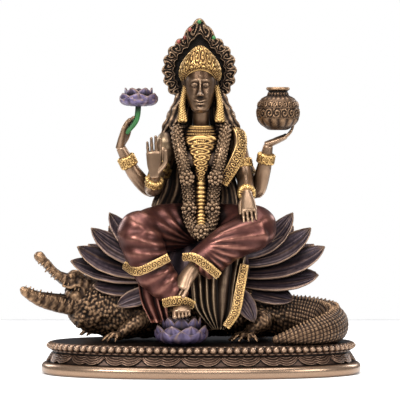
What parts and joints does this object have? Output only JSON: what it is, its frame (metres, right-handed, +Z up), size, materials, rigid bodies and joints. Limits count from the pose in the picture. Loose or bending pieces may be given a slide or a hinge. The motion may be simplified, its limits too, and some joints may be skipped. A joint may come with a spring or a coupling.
{
  "type": "ganga statuette",
  "caption": "Small bronze-finish resin statuette of a four-armed river goddess seated on an open lotus carried by a crocodile, on an oval moulded plinth.",
  "frame": {"origin": "centre of the plinth's flat underside", "axes": "+Z up through the figure, -Y the way the goddess faces, +X along the plinth towards the crocodile's tail"},
  "size_m": [0.1948, 0.0988, 0.2027],
  "materials": {
    "plinth": "cold-cast bronze resin, dark brown antique wash, rubbed lighter on the mouldings, satin gloss",
    "figure": "cold-cast bronze resin, antiqued, with gold, copper-red and purple metallic hand painting, satin gloss"
  },
  "bodies": {
    "root": {"plinth": "plinth", "goddess_on_crocodile": "figure"}
  },
  "joints": []
}
